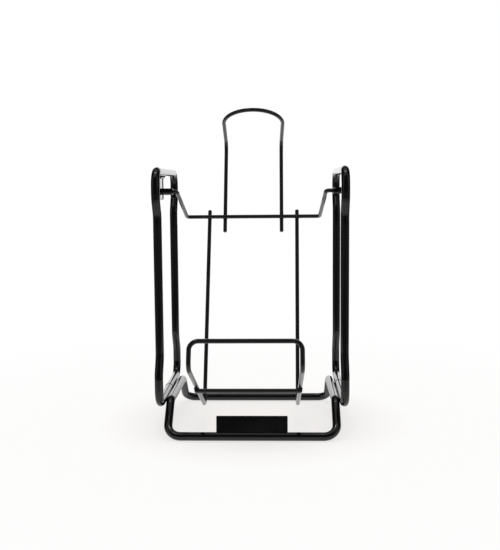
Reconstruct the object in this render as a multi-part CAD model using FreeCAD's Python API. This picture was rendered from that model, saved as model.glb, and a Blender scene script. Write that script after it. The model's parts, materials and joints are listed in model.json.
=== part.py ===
import FreeCAD, Part
import math
import os
from FreeCAD import Vector

os.makedirs("parts", exist_ok=True)

# Tilting bottle cradle on a welded rod stand.
# Millimetres. X runs left to right, Y from front to back, Z up.
# The origin is the middle of the stand, on the surface it stands on.

# Stock
rod_dia = 8.0
wire_dia = 4.0
set_down = 0.5

# Stand: base frame
rail_half_depth = 76.7
run_height = 31.1
leg_slope_deg = 42.0
base_front_bend = 12.5
base_back_bend = 10.5
back_narrowing = 1.3

# Stand: side loops
loop_half_width = 86.1
loop_foot = 31.9
loop_top = 248.4
foot_half_depth = 71.4
waist_half_depth = 62.0
waist_low = 75.7
waist_high = 207.7
joggle_height = 15.8
loop_bend = 14.0
joggle_bend = 14.0
seam_bead = 0.3
seam_land = 0.03
seam_length = 2.6
seam_places = {"left": 2.6, "right": 21.0}
tack_length = 12.0
tack_spacing = 55.0

# Pivots
pivot_drop = 19.3
plate_thickness = 2.0
plate_depth = 27.5
plate_below_pivot = 8.1
plate_corner = 1.5
plate_weld_inset = 1.0
bush_dia = 6.6
bush_inboard = 3.3
bush_proud = 1.5
bush_chamfer = 0.4
running_gap = 0.08
axle_recess = 0.75
shoulder_gap = 0.35

# Cradle, drawn upright about its pivot line
arm_inboard = 5.3
arm_inset = 2.8
arm_bend = 3.5
arm_skew = 0.4
crossbar_behind = 75.4
crossbar_above = 2.7
bay_half_width = 46.6
back_top_above = 8.8
floor_below = 197.4
floor_length = 174.8
lip_height = 23.3
heel_bend = 6.5
heel_skew = -1.2
lip_bend = 7.6
neck_half_width = 30.1
neck_tail = 16.2
neck_knee_above = 89.6
neck_reach = 78.2
neck_arc_radius = 31.1
neck_knee_bend = 10.9
neck_skew = 1.55
neck_flat = 0.6
floor_bar_from_back = 94.8
end_bevel = 0.7

# Name plate
name_width = 66.0
name_height = 18.9
name_lean_deg = 10.0
name_thickness = 2.0
name_corner = 0.8

# Welds and tabs, as shares of the rod's radius
tack_radius_share = 0.42
tack_drop_share = 0.72
plate_head_share = 0.6
plate_weld_share = 0.85
plate_weld_drop_share = 1.62

# Worked out from the above
rod_r = rod_dia / 2
wire_r = wire_dia / 2
rail_height = rod_r
base_half_width = loop_half_width - rod_dia + set_down
leg_rise = run_height - rail_height
leg_run = leg_rise / math.tan(math.radians(leg_slope_deg))
pivot_height = loop_top - pivot_drop
plate_inner = loop_half_width + rod_r - set_down
bush_inner_end = loop_half_width - rod_r - bush_inboard
bush_outer_end = plate_inner + plate_thickness + bush_proud
arm_half_width = bush_inner_end - arm_inboard
crossbar_half_width = arm_half_width - arm_inset
wire_stack = wire_dia - set_down
back_behind = crossbar_behind + wire_stack

# The cradle rests against the left bush, by this much off the middle.
side_slip = arm_inboard + arm_skew - arm_bend - shoulder_gap
axle_end = bush_outer_end - side_slip - axle_recess
pivot = Vector(0, 0, pivot_height)
mirror_plane = Vector(1, 0, 0)


# A bent bar of round stock: straight lengths joined by true arcs.
# Square ends get a small bevel.
def bent_bar(corners, bends, radius, closed=False, bevel=0.0):
    count = len(corners)
    if not isinstance(bends, (list, tuple)):
        bends = [bends] * count
    arcs = {}
    for i in range(count):
        if not closed and i in (0, count - 1):
            continue
        here = corners[i]
        into = (here - corners[i - 1]).normalize()
        out = (corners[(i + 1) % count] - here).normalize()
        turn = into.getAngle(out)
        setback = bends[i] * math.tan(turn / 2)
        towards = (out - into).normalize()
        centre = here + towards * (bends[i] / math.cos(turn / 2))
        start = here - into * setback
        arcs[i] = (start, here + out * setback)
        disc = Part.Face(Part.Wire(Part.makeCircle(radius, start, into)))
        elbow = disc.revolve(centre, into.cross(out), math.degrees(turn))
        arcs[i] = arcs[i] + (elbow,)
    pieces = [arc[2] for arc in arcs.values()]
    spans = count if closed else count - 1
    for i in range(spans):
        j = (i + 1) % count
        first = arcs[i][1] if i in arcs else corners[i]
        last = arcs[j][0] if j in arcs else corners[j]
        along = last - first
        if along.Length < 0.01:
            continue
        way = Vector(along).normalize()
        if i not in arcs and bevel:
            pieces.append(Part.makeCone(radius - bevel, radius, bevel, first, way))
            first = first + way * bevel
        if j not in arcs and bevel:
            last = last - way * bevel
            pieces.append(Part.makeCone(radius, radius - bevel, bevel, last, way))
        length = (last - first).Length
        pieces.append(Part.makeCylinder(radius, length, first, way))
    return whole(pieces[0].fuse(pieces[1:]).removeSplitter())


# The right half of a route with its mirror image. A skew moves a pair of
# opposite corners to the right together.
def both_sides(points, skews=None):
    skews = skews or [0.0] * len(points)
    right = [p + Vector(skew, 0, 0) for p, skew in zip(points, skews)]
    left = [Vector(skew - p.x, p.y, p.z) for p, skew in zip(points, skews)]
    return left[::-1] + right


def sheet(width, height, thickness, corner):
    box = Part.makeBox(thickness, width, height)
    edges = [e for e in box.Edges if abs(e.tangentAt(e.FirstParameter).x) > 0.9]
    return box.makeFillet(corner, edges)


# A cut can leave the solid wrapped in a compound: this takes it out again.
def whole(shape):
    if len(shape.Solids) != 1:
        raise ValueError("the piece fell apart")
    return shape.Solids[0]


def keep(name, shape):
    shape.exportStep("parts/" + name + ".step")


# Base frame: one rod bent into a closed saddle. Both rails lie on the table
# and the two runs between them stand clear of it. It narrows to the back.
def base_frame():
    foot, knee = rail_half_depth, rail_half_depth - leg_run
    side = [
        Vector(base_half_width, -foot, rail_height),
        Vector(base_half_width, -knee, run_height),
        Vector(base_half_width - back_narrowing, knee, run_height),
        Vector(base_half_width - back_narrowing, foot, rail_height),
    ]
    bends = [base_front_bend, base_front_bend, base_front_bend, base_back_bend]
    return bent_bar(both_sides(side), bends[::-1] + bends, rod_r, closed=True)


# Side loop: a flat closed loop, drawn in at the waist, with the butt joint
# of the rod left as a low ring, and two tacks that hold it to the base.
def side_loop(x, seam_y, base):
    half = [
        (foot_half_depth, loop_foot, loop_bend),
        (foot_half_depth, waist_low - joggle_height, joggle_bend),
        (waist_half_depth, waist_low, joggle_bend),
        (waist_half_depth, waist_high, joggle_bend),
        (foot_half_depth, waist_high + joggle_height, joggle_bend),
        (foot_half_depth, loop_top, loop_bend),
    ]
    back = [Vector(x, y, z) for y, z, bend in half]
    front = [Vector(x, -y, z) for y, z, bend in reversed(half)]
    bends = [bend for y, z, bend in half]
    loop = bent_bar(back + front, bends + bends[::-1], rod_r, closed=True)
    seam_start = Vector(x, seam_y - seam_length / 2, loop_foot)
    seam = Part.makeCylinder(rod_r + seam_bead, seam_length, seam_start, Vector(0, 1, 0))
    seam = seam.makeFillet(seam_bead - seam_land, [seam.Edges[0], seam.Edges[2]])
    loop = loop.fuse(seam)
    valley = math.copysign((abs(x) + base_half_width) / 2, x)
    for y in (-tack_spacing / 2, tack_spacing / 2):
        start = Vector(valley, y - tack_length / 2, run_height - rod_r * tack_drop_share)
        tack_r = rod_r * tack_radius_share
        tack = Part.makeCylinder(tack_r, tack_length, start, Vector(0, 1, 0))
        loop = loop.fuse(tack)
    return whole(loop.cut(base).removeSplitter())


# Pivot plate: a tab welded to the outer side of the loop's top run, with a
# fillet of weld along the underside of the run and a hole for its bush.
def pivot_plate(loop):
    foot = pivot_height - plate_below_pivot
    head = loop_top + rod_r * plate_head_share
    plate = sheet(plate_depth, head - foot, plate_thickness, plate_corner)
    plate.translate(Vector(plate_inner, -plate_depth / 2, foot))
    weld_leg = rod_r * plate_weld_share
    weld_low = loop_top - rod_r * plate_weld_drop_share
    low = Vector(plate_inner, plate_weld_inset - plate_depth / 2, weld_low)
    corners = [low, low + Vector(0, 0, weld_leg), low + Vector(-weld_leg, 0, weld_leg)]
    weld = Part.Face(Part.makePolygon(corners + [corners[0]]))
    weld = weld.extrude(Vector(0, plate_depth - plate_weld_inset * 2, 0))
    seat = Vector(plate_inner, 0, pivot_height)
    hole = Part.makeCylinder(bush_dia / 2, plate_thickness, seat, Vector(1, 0, 0))
    return whole(plate.fuse(weld).cut(loop).cut(hole).removeSplitter())


# Bush: a short tube through the plate, long enough to carry the axle clear
# of the loop.
def bush():
    length = bush_outer_end - bush_inner_end
    start = Vector(bush_inner_end, 0, pivot_height)
    body = Part.makeCylinder(bush_dia / 2, length, start, Vector(1, 0, 0))
    rims = [e for e in body.Edges if e.Curve.TypeId == "Part::GeomCircle"]
    body = body.makeChamfer(bush_chamfer, rims)
    bore = Part.makeCylinder(wire_r + running_gap, length, start, Vector(1, 0, 0))
    return whole(body.cut(bore))


# Name plate: stands on the front rail and leans back a little, in line with
# the middle of the rod.
def name_plate(base):
    foot = rod_dia - set_down
    top = rail_height + name_height
    plate = sheet(name_width, top - foot, name_thickness, name_corner)
    plate.rotate(Vector(0, 0, 0), Vector(0, 0, 1), 90)
    plate.translate(Vector(name_width / 2, -rail_half_depth - name_thickness / 2, foot))
    rail = Vector(0, -rail_half_depth, rail_height)
    plate.rotate(rail, Vector(1, 0, 0), -name_lean_deg)
    return whole(plate.cut(base))


# Yoke: the two axle ends, the arms and the crossbar, all one wire.
def yoke():
    side = [
        Vector(crossbar_half_width, crossbar_behind, crossbar_above),
        Vector(arm_half_width, 0, 0),
        Vector(axle_end, 0, 0),
    ]
    route = both_sides(side, [0, arm_skew, arm_skew])
    return bent_bar(route, arm_bend, wire_r, bevel=end_bevel)


# Main wire: down the back, forward under the bottle, up and across its front.
def main_wire():
    toe = back_behind - floor_length
    side = [
        Vector(bay_half_width, toe, lip_height - floor_below),
        Vector(bay_half_width, toe, -floor_below),
        Vector(bay_half_width, back_behind, -floor_below),
        Vector(bay_half_width, back_behind, crossbar_above + back_top_above),
    ]
    route = both_sides(side, [0, 0, heel_skew, 0])
    bends = [lip_bend, lip_bend, heel_bend, 0]
    return bent_bar(route, bends[::-1] + bends, wire_r, bevel=end_bevel)


# Neck loop: up behind the crossbar, bent square to the front, and closed by a
# half round.
def neck_loop():
    side = [
        Vector(neck_arc_radius, back_behind - neck_reach, neck_knee_above),
        Vector(neck_half_width, back_behind, neck_knee_above),
        Vector(neck_half_width, back_behind, crossbar_above - neck_tail),
    ]
    route = both_sides(side, [neck_skew, 0, 0])
    bends = [neck_arc_radius - neck_flat, neck_knee_bend, 0]
    return bent_bar(route, bends[::-1] + bends, wire_r, bevel=end_bevel)


# Floor bar: a straight wire under the two floor wires, its rounded ends flush
# with their outer sides.
def floor_bar():
    y = back_behind - floor_bar_from_back
    z = -floor_below - wire_stack
    middle = heel_skew * (1 - floor_bar_from_back / floor_length)
    left, right = middle - bay_half_width, middle + bay_half_width
    bar = Part.makeCylinder(wire_r, right - left, Vector(left, y, z), Vector(1, 0, 0))
    for x in (left, right):
        bar = bar.fuse(Part.makeSphere(wire_r, Vector(x, y, z)))
    return whole(bar.removeSplitter())


# Stand
base = base_frame()
right_bush = bush()
sides = {}
for name, sign in (("left", -1), ("right", 1)):
    loop = side_loop(sign * loop_half_width, seam_places[name], base)
    own_bush = right_bush if sign > 0 else right_bush.mirror(Vector(0, 0, 0), mirror_plane)
    sides[name] = (loop, own_bush)
right_plate = pivot_plate(sides["right"][0])
left_plate = right_plate.mirror(Vector(0, 0, 0), mirror_plane)

keep("base_frame", base)
keep("side_loop_left", sides["left"][0])
keep("side_loop_right", sides["right"][0])
keep("pivot_plate_left", left_plate)
keep("pivot_plate_right", right_plate)
keep("pivot_bush_left", sides["left"][1])
keep("pivot_bush_right", sides["right"][1])
keep("name_plate", name_plate(base))

# Cradle: each crossing is a resistance weld, the lower wire seated in the
# upper one by the set-down.
yoke_wire = yoke()
main = whole(main_wire().cut(yoke_wire))
neck = whole(neck_loop().cut(yoke_wire))
bar = whole(floor_bar().cut(main))
cradle = {"yoke_wire": yoke_wire, "main_wire": main, "neck_loop": neck, "floor_bar": bar}

# The empty cradle hangs with its centre of mass straight below the pivots.
mass = sum(s.Volume for s in cradle.values())
moment = Vector(0, 0, 0)
for shape in cradle.values():
    moment = moment + shape.CenterOfMass * shape.Volume
centre = moment * (1 / mass)
lean = math.degrees(math.atan2(centre.y, -centre.z))
print("lean back", round(lean, 3), "slip", round(side_slip, 3))
for name, shape in cradle.items():
    shape.rotate(Vector(0, 0, 0), Vector(1, 0, 0), -lean)
    shape.translate(pivot + Vector(-side_slip, 0, 0))
    keep(name, shape)
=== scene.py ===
import bmesh
import bpy
import json
import math
from mathutils import Matrix, Vector


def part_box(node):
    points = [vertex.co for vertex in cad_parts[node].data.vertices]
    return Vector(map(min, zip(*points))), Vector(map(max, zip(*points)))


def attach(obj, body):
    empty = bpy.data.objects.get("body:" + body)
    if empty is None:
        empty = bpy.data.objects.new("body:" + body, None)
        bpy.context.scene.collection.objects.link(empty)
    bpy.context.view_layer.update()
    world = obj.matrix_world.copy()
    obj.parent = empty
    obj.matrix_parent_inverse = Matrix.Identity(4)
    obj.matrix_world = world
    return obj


# tilting bottle cradle: enamel, welds, studio and camera for the wire stand
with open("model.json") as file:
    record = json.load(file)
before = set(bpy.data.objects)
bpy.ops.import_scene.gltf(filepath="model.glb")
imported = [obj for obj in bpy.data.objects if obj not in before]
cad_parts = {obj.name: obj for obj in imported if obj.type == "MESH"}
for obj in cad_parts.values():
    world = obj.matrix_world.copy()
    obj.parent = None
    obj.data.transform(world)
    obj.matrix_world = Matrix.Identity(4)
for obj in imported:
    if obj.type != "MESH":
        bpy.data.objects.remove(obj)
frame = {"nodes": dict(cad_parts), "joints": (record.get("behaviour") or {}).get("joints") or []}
nodes = frame["nodes"]
scene = bpy.context.scene
mm = 0.001  # sizes and places of pieces are written in millimetres
hair = 0.1 * mm  # points nearer than this count as level


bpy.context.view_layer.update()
axleHeight = frame["joints"][0]["pos_m"][2] / mm
plateLow, plateHigh = [Vector(corner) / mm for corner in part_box("pivot_plate_right")]
print("frame loaded:", len(nodes), "nodes")


# shader maths: a socket that can be added, multiplied and so on
class Sock:
    def __init__(self, tree, out):
        self.tree = tree
        self.out = out

    def math(self, operation, other=None, flip=False):
        node = self.tree.nodes.new("ShaderNodeMath")
        node.operation = operation
        values = [self] if other is None else [self, other]
        if flip:  # the other one comes first
            values.reverse()
        for i, value in enumerate(values):
            plug(self.tree, node.inputs[i], value)
        return Sock(self.tree, node.outputs[0])

    def __add__(self, other):
        return self.math("ADD", other)

    def __radd__(self, other):
        return self.math("ADD", other, flip=True)

    def __sub__(self, other):
        return self.math("SUBTRACT", other)

    def __rsub__(self, other):
        return self.math("SUBTRACT", other, flip=True)

    def __mul__(self, other):
        return self.math("MULTIPLY", other)

    def __rmul__(self, other):
        return self.math("MULTIPLY", other, flip=True)

    def __truediv__(self, other):
        return self.math("DIVIDE", other)

    def __rtruediv__(self, other):
        return self.math("DIVIDE", other, flip=True)

    def clamp(self, low=0.0, high=1.0):
        return self.math("MAXIMUM", low).math("MINIMUM", high)

    def ramp(self, start, end):  # 0 at start, 1 at end
        return ((self - start) / (end - start)).clamp()

    def band(self, start, full, fading, end):  # 0, then 1 from full to fading, then 0
        return self.ramp(start, full) * (1 - self.ramp(fading, end))


def plug(tree, socket, value):
    if isinstance(value, Sock):
        tree.links.new(value.out, socket)
    elif hasattr(socket.default_value, "__len__") and not hasattr(value, "__len__"):
        socket.default_value = [value] * 3 + [1.0] * (len(socket.default_value) - 3)
    else:
        socket.default_value = value


# one material or world being put together
class Shader:
    def __init__(self, owner):
        owner.use_nodes = True
        self.owner = owner
        self.tree = owner.node_tree
        self.tree.nodes.clear()

    def add(self, kind, settings=None, inputs=None, out=0):
        node = self.tree.nodes.new("ShaderNode" + kind)
        for key, value in (settings or {}).items():
            setattr(node, key, value)
        for key, value in (inputs or {}).items():
            plug(self.tree, node.inputs[key], value)
        if isinstance(out, tuple):
            return [Sock(self.tree, node.outputs[key]) for key in out]
        return None if out is None else Sock(self.tree, node.outputs[out])

    def rays(self):  # camera rays, and mirror or see-through rays
        kinds = ("Is Camera Ray", "Is Glossy Ray", "Is Transmission Ray")
        seen, mirrored, through = self.add("LightPath", out=kinds)
        return seen, (mirrored + through).clamp()

    def split(self, where):
        return self.add("SeparateXYZ", None, {0: where}, (0, 1, 2))

    def place(self):
        return self.add("TexCoord", out="Object")

    def noise(self, where, scale, detail, roughness):
        inputs = {"Vector": where, "Scale": scale, "Detail": detail, "Roughness": roughness}
        return self.add("TexNoise", {"noise_dimensions": "3D"}, inputs)

    def patches(self, where, look):  # noise cut to clear patches
        cloud = self.noise(where, look["scale"], look["detail"], look["roughness"])
        return cloud.ramp(look["start"], look["end"])

    def mixColour(self, factor, first, second):
        return self.add("Mix", {"data_type": "RGBA"}, {0: factor, 6: first, 7: second}, 2)

    def mixShader(self, factor, first, second):
        return self.add("MixShader", None, {0: factor, 1: first, 2: second})

    def glow(self, strength):
        return self.add("Emission", None, {"Color": grey(1.0), "Strength": strength})

    def finish(self, surface):
        kind = "World" if isinstance(self.owner, bpy.types.World) else "Material"
        self.add("Output" + kind, None, {"Surface": surface}, None)
        return self.owner


def grey(level):
    return (level, level, level, 1.0)


# stove enamel: deep gloss black, with the slight orange peel of a dipped or sprayed rod
enamelRod = {
    "black": 0.0020, "haze": 1.5, "dust": 0.006, "gloss": 0.045, "dull": 0.10,
    "peel": 0.008, "peelScale": 420, "wave": 0.03, "waveScale": 70,
}
# the wires' black is a little lighter than the rods': painted sheen for the greyish look that the thin
# wires get from their reflections
enamelWirePaintedSheen = {
    "black": 0.0068, "haze": 1.4, "dust": 0.012, "gloss": 0.06, "dull": 0.13,
    "peel": 0.010, "peelScale": 620, "wave": 0.03, "waveScale": 110,
}
enamelFitting = {
    "black": 0.0024, "haze": 1.6, "dust": 0.007, "gloss": 0.06, "dull": 0.13,
    "peel": 0.03, "peelScale": 520, "wave": 0.06, "waveScale": 150,
}
enamelPlate = {
    "black": 0.0022, "haze": 1.4, "dust": 0.006, "gloss": 0.16, "dull": 0.26,
    "peel": 0.05, "peelScale": 900, "wave": 0.03, "waveScale": 60,
}
# what all four share: clouding of the black, settled dust, and smears that dull the gloss
grain = {
    "cloud": {"scale": 38, "detail": 4, "roughness": 0.6, "start": 0.35, "end": 0.7},
    "dust": {"scale": 2600, "detail": 2, "roughness": 0.5, "start": 0.70, "end": 0.78},
    "smear": {"scale": 24, "detail": 5, "roughness": 0.65, "start": 0.42, "end": 0.72},
    "dustShare": 0.12, "dustDulls": 0.02, "refraction": 1.5,
    "wave": {"detail": 1, "roughness": 0.3, "depth": 0.6},
    "peel": {"detail": 2, "roughness": 0.4, "depth": 0.2},
}


def enamel(name, look):
    sh = Shader(bpy.data.materials.new(name))
    where = sh.place()
    cloud, dust, smear = [sh.patches(where, grain[kind]) for kind in ("cloud", "dust", "smear")]
    colour = sh.mixColour(cloud, grey(look["black"]), grey(look["black"] * look["haze"]))
    colour = sh.mixColour(dust * grain["dustShare"], colour, grey(look["dust"]))
    rough = smear * (look["dull"] - look["gloss"]) + look["gloss"] + dust * grain["dustDulls"]
    bump = {}
    for form in ("wave", "peel"):  # the fine peel lies on the slower wave
        rise = grain[form]
        height = sh.noise(where, look[form + "Scale"], rise["detail"], rise["roughness"])
        bump.update({"Strength": look[form], "Distance": rise["depth"] * mm, "Height": height})
        bump["Normal"] = sh.add("Bump", None, bump)
    sockets = {"Base Color": colour, "Roughness": rough, "IOR": grain["refraction"]}
    sockets["Normal"] = bump["Normal"]
    return sh.finish(sh.add("BsdfPrincipled", None, sockets))


# the record's four slots, what is on each one, and the nodes that have it
paint = {
    "frame_paint": enamel("rodEnamel", enamelRod),
    "wire_paint": enamel("wireEnamelPaintedSheen", enamelWirePaintedSheen),
    "fitting_paint": enamel("fittingEnamel", enamelFitting),
    "plate_paint": enamel("plateEnamel", enamelPlate),
}
painted = {
    "frame_paint": ["base_frame", "side_loop_left", "side_loop_right"],
    "wire_paint": ["yoke_wire", "main_wire", "neck_loop", "floor_bar"],
    "fitting_paint": ["pivot_plate_left", "pivot_plate_right", "pivot_bush_left", "pivot_bush_right"],
    "plate_paint": ["name_plate"],
}
for slotName, names in painted.items():
    for name in names:
        for slot in nodes[name].material_slots:
            slot.material = paint[slotName]
print("enamel on every rod, wire and fitting")


# modelling by hand: what is selected, and where it ends up
def clearAll():
    bpy.ops.object.select_all(action="DESELECT")


def intoEdit(piece):  # with every point picked
    bpy.context.view_layer.objects.active = piece
    bpy.ops.object.mode_set(mode="EDIT")
    bpy.ops.mesh.select_all(action="SELECT")


def outOfEdit():
    bpy.ops.object.mode_set(mode="OBJECT")


def pick(piece, test):  # the points that pass the test
    mesh = bmesh.from_edit_mesh(piece.data)
    mesh.select_mode = {"VERT"}
    for point in mesh.verts:
        point.select = bool(test(piece.matrix_world @ point.co))
    mesh.select_flush_mode()
    bmesh.update_edit_mesh(piece.data)


def faceOutwards():
    bpy.ops.mesh.select_all(action="SELECT")
    bpy.ops.mesh.normals_make_consistent(inside=False)


def settle(piece):  # place, turn and size go into the mesh
    clearAll()
    piece.select_set(True)
    bpy.context.view_layer.objects.active = piece
    bpy.ops.object.transform_apply(location=True, rotation=True, scale=True)


def smooth(piece, levels):
    settle(piece)
    soft = piece.modifiers.new("soft", "SUBSURF")
    soft.levels = levels
    soft.render_levels = levels
    bpy.ops.object.modifier_apply(modifier=soft.name)
    bpy.ops.object.shade_smooth()


def copyTo(first, name, place, turn, body, slot):  # a copy with its own mesh
    piece = first.copy()
    piece.data = first.data.copy()
    piece.name = name
    piece.data.name = name
    scene.collection.objects.link(piece)
    piece.matrix_world = Matrix.Translation(Vector(place) * mm) @ turn
    settle(piece)
    piece.data.materials.clear()
    piece.data.materials.append(paint[slot])
    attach(piece, body)


def drop(first):  # the pattern that the copies came from
    mesh = first.data
    bpy.data.objects.remove(first)
    bpy.data.meshes.remove(mesh)


def turned(degrees, axis):
    return Matrix.Rotation(math.radians(degrees), 4, axis)


sides = {-1: "left", 1: "right"}  # the stand's two sides by the sign of x


# cradle: how it hangs at rest, leaning back and a little to the left in its bushes
hang = {"aside": -1.85, "lean": 23.516}


def onCradle(x, behind, above):  # where a point of the cradle is at rest
    lean = math.radians(hang["lean"])
    y = behind * math.cos(lean) + above * math.sin(lean)
    z = above * math.cos(lean) - behind * math.sin(lean)
    return Vector((hang["aside"] + x, y, axleHeight + z))


# weld at a wire crossing: metal squeezed out into the four corners
nugget = {
    "half": 2.15, "thick": 0.95, "cuts": 3, "belly": 1.1, "uneven": 0.10, "seed": 4, "smooth": 2,
    "crossbar": {"behind": 77.15, "above": 2.7, "tipped": 90, "places": [-46.6, -30.1, 30.1, 46.6]},
    "floor": {"behind": -15.9, "above": -199.15, "tipped": 0, "places": [-47.1, 46.0]},
}


def makeNuggets(look):
    clearAll()
    bpy.ops.mesh.primitive_cube_add(size=look["half"] * 2 * mm, location=(0, 0, 0))
    first = bpy.context.object
    intoEdit(first)
    flat = look["thick"] / look["half"]
    bpy.ops.transform.resize(value=(1, 1, flat), center_override=(0, 0, 0))
    bpy.ops.mesh.subdivide(number_cuts=look["cuts"])
    pick(first, lambda at: abs(at.z) < hair)
    bpy.ops.transform.resize(value=(look["belly"], look["belly"], 1), center_override=(0, 0, 0))
    bpy.ops.mesh.select_all(action="SELECT")
    bpy.ops.transform.vertex_random(offset=look["uneven"] * mm, seed=look["seed"])
    outOfEdit()
    smooth(first, look["smooth"])
    for row in ("crossbar", "floor"):
        where = look[row]
        for i, x in enumerate(where["places"]):
            quarter = turned(90 * i, "Z")  # no two look alike
            turn = turned(-hang["lean"], "X") @ turned(where["tipped"], "X") @ quarter
            place = onCradle(x, where["behind"], where["above"])
            copyTo(first, f"{row}_nugget_{i + 1}", place, turn, "cradle", "wire_paint")
    drop(first)


# rippled bead of weld, drawn along y and then laid where it belongs
bead = {
    "pitch": 0.95, "ripple": 0.16, "round": 14, "tip": 0.45, "uneven": 0.05, "seed": 7, "smooth": 1,
    "tack": {"length": 12.9, "radius": 1.86, "x": 82.35, "y": 27.5, "z": 28.22},
    "head": {"length": 25.0, "radius": 0.95, "x": 89.3, "z": 242.9},
    "foot": {"length": 9.0, "radius": 0.95, "places": [-23.0, 0.5, 22.5], "y": -74.95, "z": 7.8},
}


def drawBead(look, run):
    clearAll()
    radius, half = run["radius"] * mm, run["length"] * mm / 2
    start = (0, -half, 0)
    stood = (math.radians(90), 0, 0)
    bpy.ops.mesh.primitive_circle_add(vertices=look["round"], radius=radius, location=start, rotation=stood)
    first = bpy.context.object
    rings = round(run["length"] / look["pitch"]) * 2
    step = half * 2 / rings
    intoEdit(first)
    for i in range(rings):
        bpy.ops.mesh.extrude_region_move(TRANSFORM_OT_translate={"value": (0, step, 0)})
    pick(first, lambda at: round((at.y + half) / step) % 2 == 1)  # every second ring stands proud
    swell = 1 + look["ripple"] / run["radius"]
    bpy.ops.transform.resize(value=(swell, 1, swell), center_override=(0, 0, 0))
    for end in (-1, 1):
        pick(first, lambda at: at.y * end > half - step / 2)
        bpy.ops.transform.resize(value=(look["tip"], 1, look["tip"]), center_override=(0, 0, 0))
        bpy.ops.mesh.edge_face_add()
    faceOutwards()
    bpy.ops.transform.vertex_random(offset=radius * look["uneven"], seed=look["seed"])
    outOfEdit()
    smooth(first, look["smooth"])
    return first


def makeBeads(look):
    tack, head, foot = look["tack"], look["head"], look["foot"]
    first = drawBead(look, tack)
    for side, name in sides.items():
        for end, where in ((-1, "front"), (1, "back")):
            place = (side * tack["x"], end * tack["y"], tack["z"])
            turn = turned(180 if end > 0 else 0, "Z")
            copyTo(first, f"tack_bead_{name}_{where}", place, turn, "stand", "frame_paint")
    drop(first)
    first = drawBead(look, head)
    for side, name in sides.items():
        turn = turned(180 if side > 0 else 0, "Z")
        place = (side * head["x"], 0, head["z"])
        copyTo(first, f"plate_bead_{name}", place, turn, "stand", "fitting_paint")
    drop(first)
    first = drawBead(look, foot)
    for i, x in enumerate(foot["places"]):
        place = (x, foot["y"], foot["z"])
        copyTo(first, f"name_plate_weld_{i + 1}", place, turned(90, "Z"), "stand", "frame_paint")
    drop(first)


# ring of weld where each bush comes out of its plate, on the outer side
ring = {
    "reach": 3.55, "bead": 0.72, "round": 12, "steps": 44, "ripple": 0.13, "seam": 0.02, "smooth": 1,
    "x": plateHigh.x, "z": axleHeight, "turned": {"left": 37, "right": 111},
}


def makeRings(look):
    clearAll()
    start = (0, look["reach"] * mm, 0)
    bpy.ops.mesh.primitive_circle_add(vertices=look["round"], radius=look["bead"] * mm, location=start)
    first = bpy.context.object
    intoEdit(first)
    bpy.ops.mesh.spin(steps=look["steps"], angle=math.tau, center=(0, 0, 0), axis=(1, 0, 0))
    bpy.ops.mesh.select_all(action="SELECT")
    bpy.ops.mesh.remove_doubles(threshold=look["seam"] * mm)
    faceOutwards()
    step = math.tau / look["steps"]
    pick(first, lambda at: round(math.atan2(at.z, at.y) / step) % 2 == 0)
    bpy.ops.transform.shrink_fatten(value=look["ripple"] * mm)
    outOfEdit()
    smooth(first, look["smooth"])
    for side, name in sides.items():
        place = (side * look["x"], 0, look["z"])
        turn = turned(look["turned"][name], "X")
        copyTo(first, f"bush_ring_{name}", place, turn, "stand", "fitting_paint")
    drop(first)


# thin raised line down the inner face of each plate, curling to the front at the foot
lip = {
    "radius": 0.5, "round": 10, "steps": 6, "tip": 0.4, "smooth": 1, "plateThick": 2.0,
    "behind": 5.45, "belowTop": 5.6, "aboveFoot": 0.7, "corner": 2.6, "front": -5.0,
}


def makeLips(look):
    clearAll()
    top = (plateHigh.z - look["belowTop"]) * mm
    foot = plateLow.z + look["aboveFoot"]
    steps = look["steps"]
    start = (0, look["behind"] * mm, top)
    bpy.ops.mesh.primitive_circle_add(vertices=look["round"], radius=look["radius"] * mm, location=start)
    first = bpy.context.object
    middle = Vector((0, look["behind"] - look["corner"], foot + look["corner"])) * mm
    down = (middle.z - top) / steps
    ahead = (look["front"] * mm - middle.y) / steps
    intoEdit(first)
    for i in range(steps):
        bpy.ops.mesh.extrude_region_move(TRANSFORM_OT_translate={"value": (0, 0, down)})
    for i in range(steps):  # round the corner
        bpy.ops.mesh.extrude_region_move(TRANSFORM_OT_translate={"value": (0, 0, 0)})
        bpy.ops.transform.rotate(value=math.radians(90) / steps, orient_axis="X", center_override=middle)
    for i in range(steps):
        bpy.ops.mesh.extrude_region_move(TRANSFORM_OT_translate={"value": (0, ahead, 0)})
    tipAt = Vector((0, look["front"], foot)) * mm
    bpy.ops.transform.resize(value=(look["tip"],) * 3, center_override=tipAt)
    bpy.ops.mesh.edge_face_add()
    pick(first, lambda at: at.z > top - hair)
    bpy.ops.mesh.edge_face_add()
    faceOutwards()
    outOfEdit()
    smooth(first, look["smooth"])
    for side, name in sides.items():
        place = (side * (plateHigh.x - look["plateThick"]), 0, 0)
        copyTo(first, f"plate_lip_{name}", place, Matrix.Identity(4), "stand", "fitting_paint")
    drop(first)


makeNuggets(nugget)
print("weld nuggets at the wire crossings")
makeBeads(bead)
makeRings(ring)
makeLips(lip)
print("weld beads and plate lips on the stand")


# plain pale table, in metres: the camera sees the object's soft shadow fade to white with distance,
# and the enamel mirrors a lit top with dark screens left and right and a dark room in front
tableTop = {
    "across": 8.0, "cells": 8, "colour": (0.93, 0.85, 0.79, 1.0),
    "underWhite": 0.62, "shade": (0.085, 0.16), "nearWhite": 0.92, "pale": (0.24, 0.55),
    "mirrored": 0.95, "tone": 0.80, "back": (0.15, 0.5), "backTone": 1.3,
    "front": (-0.45, -0.16), "frontTone": 0.04, "screen": (0.22, 0.60), "screenTone": 0.14,
}


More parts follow.
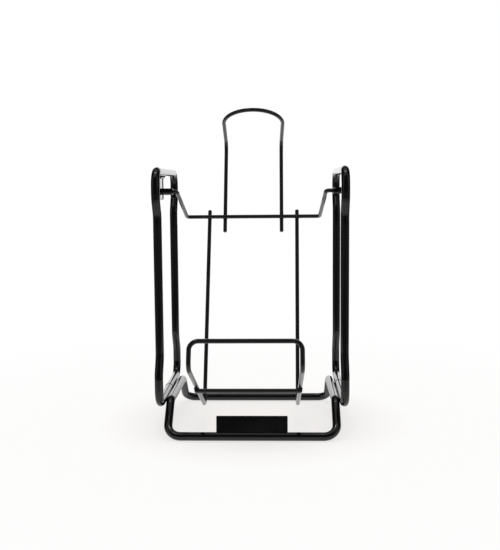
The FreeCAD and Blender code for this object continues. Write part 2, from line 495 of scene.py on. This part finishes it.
def studioTable(look):
    clearAll()
    cells = look["cells"]
    bpy.ops.mesh.primitive_grid_add(x_subdivisions=cells, y_subdivisions=cells, size=look["across"])
    table = bpy.context.object
    table.name = "studio_table"
    sh = Shader(bpy.data.materials.new("tableTop"))
    seen, shiny = sh.rays()
    x, y, z = sh.split(sh.place())
    out = (x * x + y * y).math("SQRT")
    white = look["underWhite"] + out.ramp(*look["shade"]) * (look["nearWhite"] - look["underWhite"])
    white = white + out.ramp(*look["pale"]) * (1 - look["nearWhite"])
    plain = sh.add("BsdfDiffuse", None, {"Color": look["colour"]})
    tone = look["tone"] + y.ramp(*look["back"]) * (look["backTone"] - look["tone"])
    tone = tone - (1 - y.ramp(*look["front"])) * (look["tone"] - look["frontTone"])
    screen = x.math("ABSOLUTE").ramp(*look["screen"])
    tone = tone * (1 - screen) + screen * look["screenTone"]
    top = sh.mixShader(seen * white, plain, sh.glow(1.0))
    top = sh.mixShader(shiny * look["mirrored"], top, sh.glow(tone))
    table.data.materials.append(sh.finish(top))


# the world: an even light on the object, white to the camera, and boxes of light in mirror images.
# ahead is the cosine of the angle from straight in front, rise the height in radians
world = {
    "fill": 0.72, "dark": 0.04,
    "sideBox": {"tone": 0.36, "ahead": (0.05, 0.16, 0.55, 0.68), "rise": (-0.08, 0.03, 0.8, 0.95)},
    "wall": {"tone": 1.8, "ahead": (-0.86, -0.955), "rise": (0.35, 0.75)},
    "wallDip": {"deep": 0.40, "rise": (0.08, 0.20), "edgeShare": 0.5, "across": (0.04, 0.13)},
    "roof": {"tone": 0.62, "rise": (0.9, 1.25)},
    "lamps": [  # towards the lamp, its angular radius in degrees, its tone
        ((-0.23, -0.03, 0.98), 3.6, 13.0),
        ((0.11, -0.03, 0.99), 3.6, 11.0),
        ((-0.24, -0.43, 0.87), 4.0, 3.0),
    ],
    "lampEdge": (1.3, 0.7),  # shares of that radius where the glow starts and where it is full
}


def studioWorld(look):
    scene.world = bpy.data.worlds.new("studio")
    sh = Shader(scene.world)
    x, y, z = sh.split(sh.add("TexCoord", out="Generated"))
    level = (x * x + y * y).math("SQRT")
    ahead = (0 - y) / (level + 0.0001)  # never divided by nothing
    rise = z.math("ARCSINE")
    box, back, dip, roof = look["sideBox"], look["wall"], look["wallDip"], look["roof"]
    side = ahead.band(*box["ahead"]) * rise.band(*box["rise"])
    wall = ahead.ramp(*back["ahead"]) * (1 - rise.ramp(*back["rise"]))
    edge = x.math("ABSOLUTE").ramp(*dip["across"]) * dip["edgeShare"]
    low = (1 - edge) * (1 - rise.ramp(*dip["rise"]))  # the wall's foot is dimmer, most in the middle
    wall = wall * (1 - low * dip["deep"])
    above = rise.ramp(*roof["rise"])
    tone = side * box["tone"] + wall * back["tone"] + above * roof["tone"] + look["dark"]
    for way, radius, glow in look["lamps"]:
        toLamp = Vector(way).normalized()
        near = x * toLamp.x + y * toLamp.y + z * toLamp.z
        rim, core = [math.cos(math.radians(radius * share)) for share in look["lampEdge"]]
        tone = tone + near.ramp(rim, core) * glow
    seen, shiny = sh.rays()
    strength = shiny * tone + seen + (1 - seen) * (1 - shiny) * look["fill"]
    sh.finish(sh.add("Background", None, {"Color": grey(1.0), "Strength": strength}))


# the one lamp that lights the object: a soft box overhead, not seen in mirror images
softBox = {"place": (0.0, -0.02, 1.15), "size": 0.5, "power": 2.2}


def studioLamp(look):
    lamp = bpy.data.lights.new("overheadBox", "AREA")
    lamp.shape = "SQUARE"
    lamp.size = look["size"]
    lamp.energy = look["power"]
    hung = bpy.data.objects.new("overheadBox", lamp)
    hung.location = look["place"]
    hung.visible_glossy = False
    scene.collection.objects.link(hung)


# the photograph's view: angles in degrees, lens and sensor in millimetres, the rest in metres
camera = {
    "place": (0.02775, -0.8692, 0.23504), "yaw": -2.049, "pitch": 5.843, "roll": -0.471,
    "lens": 63.35, "sensor": 36.0, "nearest": 0.01,
}


def photoCamera(view):
    yaw, pitch, roll = [math.radians(view[angle]) for angle in ("yaw", "pitch", "roll")]
    ahead = Vector((math.sin(yaw) * math.cos(pitch), math.cos(yaw) * math.cos(pitch), -math.sin(pitch)))
    right = Vector((math.cos(yaw), -math.sin(yaw), 0.0))
    up = right.cross(ahead)
    tiltedRight = right * math.cos(roll) + up * math.sin(roll)
    tiltedUp = up * math.cos(roll) - right * math.sin(roll)
    data = bpy.data.cameras.new("photoCamera")
    data.sensor_fit = "HORIZONTAL"
    data.sensor_width = view["sensor"]
    data.lens = view["lens"]
    data.clip_start = view["nearest"]
    eye = bpy.data.objects.new("photoCamera", data)
    axes = Matrix((tiltedRight, tiltedUp, -ahead)).transposed().to_4x4()
    eye.matrix_world = Matrix.Translation(Vector(view["place"])) @ axes
    scene.collection.objects.link(eye)
    scene.camera = eye


studioTable(tableTop)
studioWorld(world)
studioLamp(softBox)
photoCamera(camera)
scene.view_settings.view_transform = "Standard"
print("table, light and camera set")
